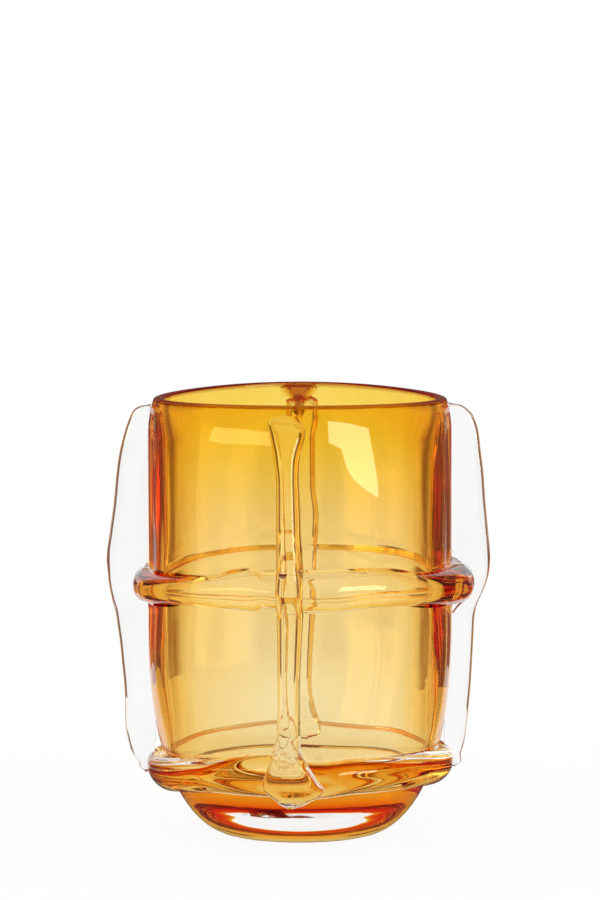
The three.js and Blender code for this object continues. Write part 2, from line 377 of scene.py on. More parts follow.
# Shares of painted shade on the amber: none, and full.
PLAIN, FULL_SHADE = steady(0.0), steady(1.0)
OPEN, JOINED = steady(-1.0), steady(1.0)


@dataclass(frozen=True)
class Ring:
    """One ring of a blown piece, by a turn in degrees.

    It gives its point in millimetres, how deep that lies in a join, and how much painted shade darkens the
    glass there.
    """

    point: Callable[[float], Vector]
    fused: Round
    painted_shade: Round = PLAIN


def select_nothing() -> None:
    """Leave object mode clean, with nothing selected."""
    if bpy.context.object and bpy.context.object.mode != "OBJECT":
        bpy.ops.object.mode_set(mode="OBJECT")
    bpy.ops.object.select_all(action="DESELECT")


def gather(steps: int, rings: int) -> bpy.types.Object:
    """A tube of molten glass to shape: a closed cylinder with many rings.

    Args:
        steps: Points round each ring.
        rings: Rings from one end to the other.

    Returns:
        The new object, one unit in radius and height.
    """
    select_nothing()
    bpy.ops.mesh.primitive_cylinder_add(
        vertices=steps, radius=1, depth=1, end_fill_type="TRIFAN", location=(0, 0, 0)
    )
    tube = bpy.context.object
    mesh = tube.data
    bpy.ops.object.mode_set(mode="EDIT")
    bpy.ops.mesh.select_mode(type="EDGE")
    bpy.ops.mesh.select_all(action="DESELECT")
    bpy.ops.object.mode_set(mode="OBJECT")
    for edge in mesh.edges:
        a, b = (mesh.vertices[i].co.z for i in edge.vertices)
        edge.select = abs(a - b) > 0.5
    bpy.ops.object.mode_set(mode="EDIT")
    bpy.ops.mesh.subdivide(number_cuts=rings - 2)
    bpy.ops.object.mode_set(mode="OBJECT")
    return tube


def blow(name: str, steps: int, rings: list[Ring]) -> bpy.types.Object:
    """A closed piece skinned over level rings, from one pole to the other.

    Args:
        name: Name of the piece.
        steps: Points round each ring.
        rings: The rings in order.

    Returns:
        The shaped piece.
    """
    last = len(rings) - 1
    piece = gather(steps, last + 1)
    piece.name = piece.data.name = name
    ends: dict[int, Vector] = {}
    for end in (0, last):
        points = [rings[end].point(360 * k / steps) for k in range(steps)]
        ends[end] = sum(points, Vector()) / steps
    depths: list[float] = []
    painted_shades: list[float] = []
    for vertex in piece.data.vertices:
        number = round((vertex.co.z + 0.5) * last)
        ring = rings[number]
        x, y, _ = vertex.co
        at_pole = math.hypot(x, y) < POLE
        step = 0 if at_pole else round(math.degrees(math.atan2(y, x)) * steps / 360) % steps
        turn = 360 * step / steps
        vertex.co = (ends[number] if at_pole else ring.point(turn)) * MM
        depths.append(ring.fused(turn))
        painted_shades.append(ring.painted_shade(turn))
    piece.data.update()
    mark(piece, "fused", depths)
    # The share of painted shade is noted on each point for the amber finish to read.
    mark(piece, "painted_shade", painted_shades)
    return piece


def mark(piece: bpy.types.Object, name: str, values: list[float]) -> None:
    """Note a value on each point of a piece for its finish to read.

    Args:
        piece: The piece.
        name: Name of the attribute.
        values: Value for each vertex.
    """
    attribute = piece.data.attributes.new(name, "FLOAT", "POINT")
    attribute.data.foreach_set("value", values)


def smooth(piece: bpy.types.Object, angle: float = 60.0) -> None:
    """Shade a piece smoothly, but for its sharp edges.

    Args:
        piece: The piece.
        angle: Least angle of a sharp edge, in degrees.
    """
    select_nothing()
    piece.select_set(True)
    bpy.context.view_layer.objects.active = piece
    bpy.ops.object.shade_smooth_by_angle(angle=math.radians(angle))


@dataclass(frozen=True)
class ClearGlass:
    """Finish of the clear glass: nearly colourless, fire polished, with faint cords of flow."""

    tint: Colour = (0.985, 0.985, 0.98)
    streak: Colour = (0.93, 0.925, 0.91)
    refraction: float = 1.5
    roughness: float = 0.012
    flow_scale: float = 55.0
    cords: float = 0.25
    cord_height: float = 0.12

    def material(self) -> bpy.types.Material:
        """Make the clear glass.

        Returns:
            The Blender material.
        """
        material, shader = glass_material("clear_glass", self.refraction)
        tree = material.node_tree
        flow = place_flow(tree, self.flow_scale, self.cords, self.roughness)
        colour = mix_colours(tree, flow.outputs["Streaks"], self.tint, self.streak)
        tree.links.new(colour, shader.inputs["Base Color"])
        connect_surface(tree, flow, shader, self.cord_height)
        return material


@dataclass(frozen=True)
class AmberGlass:
    """Finish of the amber glass: coloured in its depth, richer towards the rim, and darkened by painted shade
    along the rim.

    The rich tint begins and is full at two heights in millimetres.
    """

    tint: Colour = (1.0, 1.0, 1.0)
    rim_tint: Colour = (1.0, 0.99, 0.20)
    # Painted shade: the plum brown that the rim, two of its corners and the pinch are darkened towards.
    painted_shade_tint: Colour = (0.34, 0.17, 0.19)
    absorb: Colour = (0.98, 0.82, 0.32)
    density: float = 820.0
    refraction: float = 1.5
    roughness: float = 0.012
    flow_scale: float = 40.0
    cords: float = 0.18
    cord_height: float = 0.1
    rich_from: float = 135.0
    rich_to: float = 192.0

    def material(self) -> bpy.types.Material:
        """Make the amber glass.

        Returns:
            The Blender material.
        """
        material, shader = glass_material("amber_glass", self.refraction)
        tree = material.node_tree
        nodes, links = tree.nodes, tree.links
        flow = place_flow(tree, self.flow_scale, self.cords, self.roughness)
        split = nodes.new("ShaderNodeSeparateXYZ")
        links.new(nodes.new("ShaderNodeTexCoord").outputs["Object"], split.inputs[0])
        rich = ramp(tree, split.outputs["Z"], ((self.rich_from * MM, 0.0), (self.rich_to * MM, 1.0)))
        colour = nodes.new("ShaderNodeVectorMath")
        colour.operation = "MULTIPLY"
        links.new(mix_colours(tree, rich, self.tint, self.rim_tint), colour.inputs[0])
        # Painted shade darkens the amber where the pieces note it.
        links.new(mix_colours(tree, noted(tree, "painted_shade"), self.tint, self.painted_shade_tint), colour.inputs[1])
        links.new(colour.outputs["Vector"], shader.inputs["Base Color"])
        connect_surface(tree, flow, shader, self.cord_height)
        depth = nodes.new("ShaderNodeVolumeAbsorption")
        depth.inputs["Color"].default_value = (*self.absorb, 1)
        depth.inputs["Density"].default_value = self.density
        links.new(depth.outputs[0], nodes["Material Output"].inputs["Volume"])
        return material


def noted(tree: bpy.types.NodeTree, name: str) -> bpy.types.NodeSocket:
    """The value that a piece notes on its points.

    Args:
        tree: Tree that holds the nodes.
        name: Name of the attribute.

    Returns:
        Socket with the value.
    """
    node = tree.nodes.new("ShaderNodeAttribute")
    node.attribute_name = name
    return node.outputs["Fac"]


def glass_material(name: str, refraction: float) -> tuple[bpy.types.Material, bpy.types.Node]:
    """A bare glass material, clear as air on faces that are fused to another piece.

    Args:
        name: Name of the material.
        refraction: Index of refraction.

    Returns:
        The material and its Principled shader.
    """
    material = bpy.data.materials.new(name)
    material.use_nodes = True
    tree = material.node_tree
    shader = tree.nodes["Principled BSDF"]
    shader.inputs["Transmission Weight"].default_value = 1.0
    shader.inputs["IOR"].default_value = refraction
    shader.inputs["Metallic"].default_value = 0.0
    in_open = maths(tree, "LESS_THAN", noted(tree, "fused"), JOIN_STARTS)
    tree.links.new(in_open, shader.inputs["Alpha"])
    return material, shader


def flow_group() -> bpy.types.NodeTree:
    """The flow of hot glass: streaks of a second tint, uneven polish and low cords, built once.

    Returns:
        The node group.
    """
    found = bpy.data.node_groups.get("glass_flow")
    if found:
        return found
    group = bpy.data.node_groups.new("glass_flow", "ShaderNodeTree")
    new_socket = group.interface.new_socket
    for name, default in (("Scale", 50.0), ("Cords", 0.2), ("Roughness", 0.01)):
        new_socket(name, in_out="INPUT", socket_type="NodeSocketFloat").default_value = default
    for name in ("Streaks", "Roughness", "Height"):
        new_socket(name, in_out="OUTPUT", socket_type="NodeSocketFloat")
    nodes, links = group.nodes, group.links
    given, out = nodes.new("NodeGroupInput"), nodes.new("NodeGroupOutput")
    stretch = nodes.new("ShaderNodeMapping")
    stretch.inputs["Scale"].default_value = FLOW_STRETCH
    links.new(nodes.new("ShaderNodeTexCoord").outputs["Object"], stretch.inputs["Vector"])
    cords = nodes.new("ShaderNodeTexNoise")
    cords.inputs["Detail"].default_value = 2.0
    cords.inputs["Distortion"].default_value = 0.6
    links.new(stretch.outputs[0], cords.inputs["Vector"])
    links.new(given.outputs["Scale"], cords.inputs["Scale"])
    streaks = nodes.new("ShaderNodeMapRange")
    streaks.inputs["From Min"].default_value, streaks.inputs["From Max"].default_value = STREAK_EDGES
    links.new(cords.outputs[0], streaks.inputs["Value"])
    least = given.outputs["Roughness"]
    links.new(streaks.outputs["Result"], out.inputs["Streaks"])
    links.new(maths(group, "MULTIPLY_ADD", streaks.outputs["Result"], least, least), out.inputs["Roughness"])
    links.new(maths(group, "MULTIPLY", cords.outputs[0], given.outputs["Cords"]), out.inputs["Height"])
    return group


def place_flow(tree: bpy.types.NodeTree, scale: float, cords: float, roughness: float) -> bpy.types.Node:
    """The flow group placed in a material with its own values.

    Args:
        tree: The material's tree.
        scale: How fine the cords are.
        cords: How high they stand.
        roughness: Least roughness of the polish.

    Returns:
        The group node.
    """
    flow = tree.nodes.new("ShaderNodeGroup")
    flow.node_tree = flow_group()
    for name, value in (("Scale", scale), ("Cords", cords), ("Roughness", roughness)):
        flow.inputs[name].default_value = value
    return flow


def mix_colours(
    tree: bpy.types.NodeTree, share: bpy.types.NodeSocket, first: Colour, second: Colour
) -> bpy.types.NodeSocket:
    """A mix of two colours.

    Args:
        tree: Tree that holds the nodes.
        share: How much of the second colour shows.
        first: Colour where the share is 0.
        second: Colour where the share is 1.

    Returns:
        The mix's socket.
    """
    mix = tree.nodes.new("ShaderNodeMix")
    mix.data_type = "RGBA"
    mix.inputs["A"].default_value = (*first, 1)
    mix.inputs["B"].default_value = (*second, 1)
    tree.links.new(share, mix.inputs["Factor"])
    return mix.outputs["Result"]


def mix_shaders(tree: bpy.types.NodeTree, *sockets: bpy.types.NodeSocket) -> bpy.types.NodeSocket:
    """A mix of two shaders.

    Args:
        tree: Tree that holds the nodes.
        sockets: Share of the second shader, the first shader and the second.

    Returns:
        The mix's socket.
    """
    mix = tree.nodes.new("ShaderNodeMixShader")
    for i, socket in enumerate(sockets):
        tree.links.new(socket, mix.inputs[i])
    return mix.outputs[0]


def connect_surface(
    tree: bpy.types.NodeTree, flow: bpy.types.Node, shader: bpy.types.Node, height: float
) -> None:
    """Lead the flow's polish and cords into a shader.

    Args:
        tree: Tree that holds the nodes.
        flow: The placed flow group.
        shader: The Principled shader.
        height: Height of the cords in millimetres.
    """
    tree.links.new(flow.outputs["Roughness"], shader.inputs["Roughness"])
    bump = tree.nodes.new("ShaderNodeBump")
    bump.inputs["Distance"].default_value = height * MM
    tree.links.new(flow.outputs["Height"], bump.inputs["Height"])
    tree.links.new(bump.outputs["Normal"], shader.inputs["Normal"])


@dataclass(frozen=True)
class PalePaper:
    """Finish of the pale floor, which shows white to the eye and through glass and still takes a soft shadow.

    Its glow grows to white between two distances from the vase's middle, near and far, in metres.
    """

    colour: Colour = (0.82, 0.82, 0.82)
    grain_scale: float = 400.0
    grain_lift: float = 1.02
    glow_near: float = 0.93
    near: float = 0.12
    far: float = 0.42
    mirrored: float = 0.08

    def material(self) -> bpy.types.Material:
        """Make the pale floor.

        Returns:
            The Blender material.
        """
        material = bpy.data.materials.new("pale_paper")
        material.use_nodes = True
        tree = material.node_tree
        nodes, links = tree.nodes, tree.links
        shader = nodes["Principled BSDF"]
        shader.inputs["Roughness"].default_value = 1.0
        shader.inputs["Specular IOR Level"].default_value = 0.0
        grain = nodes.new("ShaderNodeTexNoise")
        grain.inputs["Scale"].default_value = self.grain_scale
        paler = tuple(min(1.0, c * self.grain_lift) for c in self.colour)
        links.new(mix_colours(tree, grain.outputs[0], self.colour, paler), shader.inputs["Base Color"])
        away = nodes.new("ShaderNodeVectorMath")
        away.operation = "LENGTH"
        links.new(nodes.new("ShaderNodeTexCoord").outputs["Object"], away.inputs[0])
        glow = ramp(tree, away.outputs["Value"], ((self.near, self.glow_near), (self.far, 1.0)))
        share = maths(tree, "MULTIPLY", seen_directly(tree), glow)
        white, dim = nodes.new("ShaderNodeEmission"), nodes.new("ShaderNodeEmission")
        dim.inputs["Strength"].default_value = self.mirrored
        path = nodes.new("ShaderNodeLightPath")
        mirror = maths(tree, "SUBTRACT", path.outputs["Is Glossy Ray"], path.outputs["Is Transmission Ray"])
        seen = mix_shaders(tree, share, shader.outputs[0], white.outputs[0])
        seen = mix_shaders(tree, mirror, seen, dim.outputs[0])
        links.new(seen, nodes["Material Output"].inputs["Surface"])
        return material


def ramp(tree: bpy.types.NodeTree, value: bpy.types.NodeSocket, ends: Stops) -> bpy.types.NodeSocket:
    """A smooth ramp between two values.

    Args:
        tree: Tree that holds the nodes.
        value: Socket that drives the ramp.
        ends: Place and value at both ends.

    Returns:
        The ramp's socket.
    """
    node = tree.nodes.new("ShaderNodeMapRange")
    node.interpolation_type = "SMOOTHSTEP"
    (node.inputs["From Min"].default_value, node.inputs["To Min"].default_value) = ends[0]
    (node.inputs["From Max"].default_value, node.inputs["To Max"].default_value) = ends[1]
    tree.links.new(value, node.inputs["Value"])
    return node.outputs["Result"]


def maths(
    tree: bpy.types.NodeTree, operation: str, *values: bpy.types.NodeSocket | float
) -> bpy.types.NodeSocket:
    """The result of a sum in nodes.

    Args:
        tree: Tree that holds the nodes.
        operation: Name of the operation.
        values: Sockets or numbers that it takes.

    Returns:
        The result's socket.
    """
    node = tree.nodes.new("ShaderNodeMath")
    node.operation = operation
    for i, value in enumerate(values):
        if isinstance(value, (int, float)):
            node.inputs[i].default_value = value
        else:
            tree.links.new(value, node.inputs[i])
    return node.outputs[0]


def seen_directly(tree: bpy.types.NodeTree) -> bpy.types.NodeSocket:
    """A mask of what the camera sees, straight or through glass.

    Args:
        tree: Tree that holds the nodes.

    Returns:
        Socket that is 1 for such rays.
    """
    path = tree.nodes.new("ShaderNodeLightPath")
    return maths(tree, "MAXIMUM", path.outputs["Is Camera Ray"], path.outputs["Is Transmission Ray"])


class Trail(Protocol):
    """A trail of clear glass that covers a part of the vessel's outside."""

    def covers(self, bearing: float, height: float) -> float:
        """How deep a point of the outside lies under the trail, below 0 beside it."""
        ...


@dataclass
class AmberLiner:
    """The amber cup inside the clear casing, which wraps over the rim."""

    vessel: Vessel
    steps: int = 288
    overlap: float = 0.08
    lip_rise: float = 1.3
    lip_proud: float = 0.02
    under_lip: float = 0.6
    shelf_shares: tuple[float, ...] = (0.35, 0.7, 0.98)
    floor_shares: tuple[float, ...] = (0.02, 0.35, 0.7)
    crowding: float = 1.6
    probe: float = 0.05
    corner_rings: int = 18
    wall_rings: int = 60
    lip_rings: int = 14

    def build(self, glass: bpy.types.Material) -> bpy.types.Object:
        """Blow the amber cup.

        Args:
            glass: Its finish.

        Returns:
            The finished piece.
        """
        v = self.vessel
        shelf = v.rim_height - v.cap_height
        middle = v.rim_height - self.lip_rise
        outside: list[Ring] = []
        self.climb(outside, Skin.SEAM, v.base_thickness, shelf - self.overlap, self.overlap, JOINED)
        for share in self.shelf_shares:
            outside.append(Ring(self.level(share, shelf - self.overlap), JOINED))
        lip: list[Ring] = []
        # The rounded rim takes full painted shade.
        for i in range(self.lip_rings + 1):
            lip.append(Ring(self.lip(180 * i / self.lip_rings, middle), OPEN, FULL_SHADE))
        inside: list[Ring] = []
        self.climb(inside, Skin.INSIDE, v.base_thickness + v.liner_floor, middle - self.under_lip, 0.0, OPEN)
        piece = blow("amber_cup", self.steps, outside + lip + inside[::-1])
        smooth(piece)
        piece.data.materials.append(glass)
        return piece

    def lip_radius(self) -> float:
        """Half the thickness of the whole wall at the rim."""
        v = self.vessel
        return (v.casing_wall + v.liner_wall.at(v.rim_height)) / 2

    def climb(
        self, rings: list[Ring], skin: Skin, floor: float, top: float, out: float, fused: Round
    ) -> None:
        """Add rings up a skin of the wall, from the pole of its floor.

        Args:
            rings: Rings so far, which the new ones join.
            skin: The skin to follow.
            floor: Height of the skin's floor.
            top: Height of the last ring.
            out: How far the skin is carried past itself.
            fused: Depth in a join at a turn.
        """
        v = self.vessel
        corner = v.corner_height
        heights = [floor + corner * (i / self.corner_rings) ** 2 for i in range(1, self.corner_rings + 1)]
        low = heights[-1]
        shares = [1 - (1 - i / self.wall_rings) ** self.crowding for i in range(1, self.wall_rings + 1)]
        heights += [low + (top - low) * share for share in shares]
        first = v.skin_radius(skin, heights[0])
        for share in self.floor_shares:
            rings.append(Ring(lambda turn, r=first * share: v.shaped(skin, turn, r, floor - out), fused))
        for height in heights:
            radius = v.skin_radius(skin, height)
            step = v.skin_radius(skin, height + self.probe) - v.skin_radius(skin, height - self.probe)
            away = out / math.hypot(step, 2 * self.probe)
            grown, lowered = radius + away * 2 * self.probe, height - away * step
            rings.append(
                Ring(
                    lambda turn, r=grown, h=lowered: v.shaped(skin, turn, r, h),
                    fused,
                    # Painted shade under the rim, at two of its corners and in the pinch.
                    lambda turn, h=height: v.rim_shade_share(turn, h),
                )
            )

    def level(self, share: float, height: float) -> Callable[[float], Vector]:
        """A ring on the shelf under the cap.

        Args:
            share: How far it is from the seam towards the outside.
            height: Level of the shelf.

        Returns:
            The ring's point for a turn.
        """
        v = self.vessel
        inner = v.skin_radius(Skin.SEAM, height)
        outer = v.skin_radius(Skin.OUTSIDE, height)
        return lambda turn: v.shaped(Skin.OUTSIDE, turn, inner + (outer - inner) * share, height)

    def lip(self, angle: float, middle: float) -> Callable[[float], Vector]:
        """A ring of the rounded rim.

        Args:
            angle: Place on the round, 0 outside and 180 inside.
            middle: Height of the round's centre.

        Returns:
            The ring's point for a turn.
        """
        v = self.vessel
        half = self.lip_radius()
        centre = v.skin_radius(Skin.OUTSIDE, middle) + self.lip_proud - half
        radius = centre + half * math.cos(math.radians(angle))
        height = middle + self.lip_rise * math.sin(math.radians(angle))
        return lambda turn: v.shaped(Skin.OUTSIDE, turn, radius, height)


@dataclass
class ClearCasing:
    """The clear outer layer with the thick base, which ends just under the amber rim."""

    vessel: Vessel
    covers: tuple[Trail, ...]
    steps: int = 288
    foot_hollow: float = 0.6
    innermost: float = 0.1
    crowding: float = 1.4
    shelf_shares: tuple[float, ...] = (0.02, 0.35, 0.65, 0.95)
    floor_shares: tuple[float, ...] = (0.7, 0.35, 0.02)
    foot_rings: int = 8
    outer_rings: int = 110
    corner_rings: int = 18
    wall_rings: int = 40

    def build(self, glass: bpy.types.Material) -> bpy.types.Object:
        """Blow the clear casing.

        Args:
            glass: Its finish.

        Returns:
            The finished piece.
        """
        v = self.vessel
        top, floor = v.rim_height - v.cap_height, v.base_thickness
        sections: list[Ring] = []
        for i in range(self.foot_rings):
            share = (i + self.innermost) / self.foot_rings
            radius, rise = v.foot_radius * share, self.foot_hollow * (1 - share**2)
            sections.append(Ring(lambda turn, r=radius, h=rise: v.shaped(Skin.OUTSIDE, turn, r, h), OPEN))
        for i in range(self.outer_rings + 1):
            height = top * (i / self.outer_rings) ** self.crowding
            sections.append(
                Ring(
                    lambda turn, h=height: v.shaped(Skin.OUTSIDE, turn, v.plain_radius(h), h),
                    lambda turn, h=height: max(cover.covers(turn, h) for cover in self.covers),
                )
            )
        outer, inner = v.skin_radius(Skin.OUTSIDE, top), v.skin_radius(Skin.SEAM, top)
        for share in self.shelf_shares:
            radius = outer + (inner - outer) * share
            sections.append(Ring(lambda turn, r=radius: v.shaped(Skin.OUTSIDE, turn, r, top), JOINED))
        low = floor + v.corner_height
        count = self.corner_rings
        heights = [top + (low - top) * i / self.wall_rings for i in range(self.wall_rings)]
        heights += [floor + v.corner_height * (i / count) ** 2 for i in range(count, 0, -1)]
        for height in heights:
            radius = v.skin_radius(Skin.SEAM, height)
            sections.append(Ring(lambda turn, r=radius, h=height: v.shaped(Skin.SEAM, turn, r, h), JOINED))
        for share in self.floor_shares:
            radius = v.skin_radius(Skin.SEAM, heights[-1]) * share
            sections.append(Ring(lambda turn, r=radius: v.shaped(Skin.SEAM, turn, r, floor), JOINED))
        piece = blow("clear_casing_glass", self.steps, sections)
        smooth(piece)
        piece.data.materials.append(glass)
        return piece


@dataclass
class Band:
    """A thick trail of clear glass laid round the vessel."""

    name: str
    vessel: Vessel
    middle: Course
    half: Course
    depth: Course
    steps: int = 288
    section_steps: int = 64
    squareness: float = 2.2
    follow: float = 0.7
    sink: float = 0.2
    beside: float = 3.0
    sharp: float = 75.0
    ribs: tuple[Trail, ...] = ()

    def hold(self, bearing: float) -> tuple[float, float, float, float]:
        """Sizes of the band at a bearing.

        Args:
            bearing: Direction of the section.

        Returns:
            Height of its middle, half its width, its depth and the wall's radius behind it.
        """
        middle = self.middle.around(bearing)
        wall = self.vessel.wall_radius(bearing, middle)
        return middle, self.half.around(bearing), self.depth.around(bearing), wall

    def point(self, bearing: float, turn: float) -> Vector:
        """A point of the band's skin.

        Args:
            bearing: Direction of the section.
            turn: Place round the section in degrees, 0 outwards and 90 up.

        Returns:
            The point in millimetres.
        """
        middle, half, depth, wall = self.hold(bearing)
        up, out = math.sin(math.radians(turn)), math.cos(math.radians(turn))
        power = 2 / self.squareness
        height = middle + half * math.copysign(abs(up) ** power, up)
        here = self.vessel.wall_radius(bearing, height)
        radius = wall + self.follow * (here - wall) + depth * math.copysign(abs(out) ** power, out)
        radius = max(radius, here - self.sink)
        angle = math.radians(bearing)
        return Vector((radius * math.cos(angle), radius * math.sin(angle), height))

    def outer(self, bearing: float, height: float) -> float:
        """Outer radius of the band.

        Args:
            bearing: Direction of the point.
            height: Its level.

        Returns:
            The radius in millimetres, 0 above and below the band.
        """
        middle, half, depth, wall = self.hold(bearing)
        level = (height - middle) / half
        if abs(level) >= 1:
            return 0.0
        power = self.squareness
        under = wall + self.follow * (self.vessel.wall_radius(bearing, height) - wall)
        return under + depth * (1 - abs(level) ** power) ** (1 / power)

    def covers(self, bearing: float, height: float) -> float:
        """How deep a point of the vessel's outside lies under the band, below 0 beside it.

        Args:
            bearing: Direction of the point.
            height: Its level.

        Returns:
            The depth in millimetres, measured along the wall.
        """
        middle, half, depth, wall = self.hold(bearing)
        if abs(height - middle) > self.beside * half:
            return -1.0
        away = (1 - self.follow) * abs(self.vessel.wall_radius(bearing, height) - wall) / depth
        power = self.squareness
        return (1 - (away**power + (abs(height - middle) / half) ** power) ** (1 / power)) * half

    def build(self, glass: bpy.types.Material) -> bpy.types.Object:
        """Lay the band round the vessel.

        Args:
            glass: Its finish.

        Returns:
            The finished piece.
        """
        select_nothing()
        bpy.ops.mesh.primitive_torus_add(
            major_segments=self.steps,
            minor_segments=self.section_steps,
            major_radius=1.0,
            minor_radius=0.25,
            location=(0, 0, 0),
        )
        piece = bpy.context.object
        piece.name = piece.data.name = self.name
        depths: list[float] = []
        for vertex in piece.data.vertices:
            x, y, z = vertex.co
            bearing = round(math.degrees(math.atan2(y, x)) * self.steps / 360) * 360 / self.steps
            turn = round(math.degrees(math.atan2(z, math.hypot(x, y) - 1)) * self.section_steps / 360)
            turn = turn * 360 / self.section_steps
            point = self.point(bearing, turn)
            depth = self.vessel.wall_radius(bearing, point.z) - math.hypot(point.x, point.y)
            if math.cos(math.radians(turn)) > 0:
                depth = max([depth] + [rib.covers(bearing, point.z) for rib in self.ribs])
            depths.append(depth)
            vertex.co = point * MM
        piece.data.update()
        mark(piece, "fused", depths)
        smooth(piece, self.sharp)
        piece.data.materials.append(glass)
        return piece


@dataclass
class Rib:
    """An upright trail of clear glass that runs from the rim over both bands."""

    name: str
    vessel: Vessel
    bands: tuple[Band, ...]
    bearing: float
    left: Course
    right: Course
    outer: Course
    squareness: float = 3.6
    over_band: float = 3.5
    over_wall: float = 1.0
    hang_radius: float = 66.3
    steepest: float = 1.1
    sink: float = 0.2
    full_width: float = 9.0
    widest: float = 0.5
    join_slope: float = 4.0
    least_gap: float = 0.05
    crowding: float = 0.85
    sharp: float = 75.0
    lay_steps: int = 400
    steps: int = 56
    rings: int = 170
    laid: list[float] = field(default_factory=list)

    def __post_init__(self) -> None:
        """Lay the rib as soon as it is known what it runs over."""
        self.lay()

    @property
    def bottom(self) -> float:
        """Height of the rib's lower end."""
        return self.outer.stops[0][0]

    @property
    def top(self) -> float:
        """Height of the rib's upper end."""
        return self.outer.stops[-1][0]

    def rest_on(self, bearing: float, height: float) -> float:
        """Radius of what the rib lies on at a bearing and height: the wall or a band."""
        on_bands = [band.outer(bearing, height) for band in self.bands]
        return max([self.vessel.wall_radius(bearing, height)] + on_bands)

    def lay(self) -> None:
        """Work out the rib's inner radius on its line, where it bridges hollows that it can't follow."""
        count = self.lay_steps
        span = (self.top - self.bottom) / count
        low = self.bands[0].middle.around(self.bearing)
        radii: list[float] = []
        for i in range(count + 1):
            height = self.bottom + span * i
            radius = self.rest_on(self.bearing, height)
            if low < height < self.vessel.bowl_height:
                radius = max(radius, self.hang_radius)
            radii.append(radius)
        for i in range(1, count + 1):
            radii[i] = max(radii[i], radii[i - 1] - self.steepest * span)
        for i in range(count - 1, -1, -1):
            radii[i] = max(radii[i], radii[i + 1] - self.steepest * span)
        self.laid = radii

    def lift(self, height: float) -> float:
        """Inner radius of the rib on its line.

        Args:
            height: Level on the rib.

        Returns:
            The radius in millimetres.
        """
        count = len(self.laid) - 1
        place = clamp01((height - self.bottom) / (self.top - self.bottom)) * count
        i = min(int(place), count - 1)
        return self.laid[i] + (self.laid[i + 1] - self.laid[i]) * (place - i)

    def covers(self, bearing: float, height: float) -> float:
        """How deep a point of what the rib lies on is under the rib, below 0 beside it.

        Args:
            bearing: Direction of the point.
            height: Its level.

        Returns:
            The depth in millimetres.
        """
        aside = math.radians(turned(bearing, self.bearing))
        if abs(aside) > self.widest or not self.bottom < height < self.top:
            return -1.0
        left, right = self.left.at(height), self.right.at(height)
        u = self.rest_on(bearing, height) * math.sin(aside)
        held = self.sink - (self.lift(height) - self.rest_on(self.bearing, height))
        inside = (right - left) / 2 - abs(u - (left + right) / 2)
        return min(inside, self.join_slope * held, height - self.bottom, self.top - height)

    def section(self, height: float) -> Ring:
        """One level ring of the rib.

        Args:
            height: Level of the ring.

        Returns:
            The ring, whose turn is 0 outwards and 90 towards rising bearings.
        """
        left, right = self.left.at(height), self.right.at(height)
        inner_line = self.lift(height)
        bridged = inner_line - self.rest_on(self.bearing, height)
        share = clamp01((right - left) / self.full_width)
        outer = max(self.outer.at(height), inner_line + self.over_wall * share)
        for band in self.bands:
            if band.outer(self.bearing, height) > 0:
                outer = max(outer, inner_line + self.over_band * share)
        turn0 = math.radians(self.bearing)
        along = Vector((math.cos(turn0), math.sin(turn0), 0))
        across = Vector((-math.sin(turn0), math.cos(turn0), 0))
        power = 2 / self.squareness

        def point(turn: float) -> Vector:
            """Place the ring's point.

            Args:
                turn: Place round the ring in degrees.

            Returns:
                The point in millimetres.
            """
            c, s = math.cos(math.radians(turn)), math.sin(math.radians(turn))
            u = math.copysign(abs(s) ** power, s)
            u = (left + right) / 2 + u * (right - left) / 2
            reach = math.degrees(u / inner_line)
            rest = self.rest_on(self.bearing + reach, height) - self.sink
            if bridged > self.least_gap:
                rest = max(rest, inner_line - u * u / (2 * inner_line) - self.sink)
            rest = rest * math.cos(u / inner_line)
            if c <= 0:
                return along * rest + across * u + Vector((0, 0, height))
            radius = rest + (outer - rest) * c**power
            return along * radius + across * u + Vector((0, 0, height))

        def fused(turn: float) -> float:
            """How deep the ring's point lies in what the rib rests on.

            Args:
                turn: Place round the ring in degrees.

            Returns:
                The depth in millimetres, below 0 in the open.
            """
            place = point(turn)
            bearing = math.degrees(math.atan2(place.y, place.x))
            return self.rest_on(bearing, height) - math.hypot(place.x, place.y)

        return Ring(point, fused)

    def build(self, glass: bpy.types.Material) -> bpy.types.Object:
        """Lay the rib over the bands.

        Args:
            glass: Its finish.

        Returns:
            The finished piece.
        """
        heights: list[float] = []
        for i in range(self.rings):
            t = i / (self.rings - 1)
            eased = t - self.crowding * math.sin(2 * math.pi * t) / (2 * math.pi)
            heights.append(self.bottom + (self.top - self.bottom) * eased)
        piece = blow(self.name, self.steps, [self.section(height) for height in heights])
        smooth(piece, self.sharp)
        piece.data.materials.append(glass)
        return piece


def around_front(stops: Stops, rest: float) -> Course:
    """A course once round the vase from stops given in degrees right of the front.

    Args:
        stops: Angle from the front and value, in rising order, the last at 90.
        rest: Value at the back.

    Returns:
        The course by bearing.
    """
    placed = {(FRONT + angle) % 360: value for angle, value in stops}
    placed[BACK] = rest
    ordered = sorted(placed.items())
    return Course((*ordered, (360.0, ordered[0][1])))


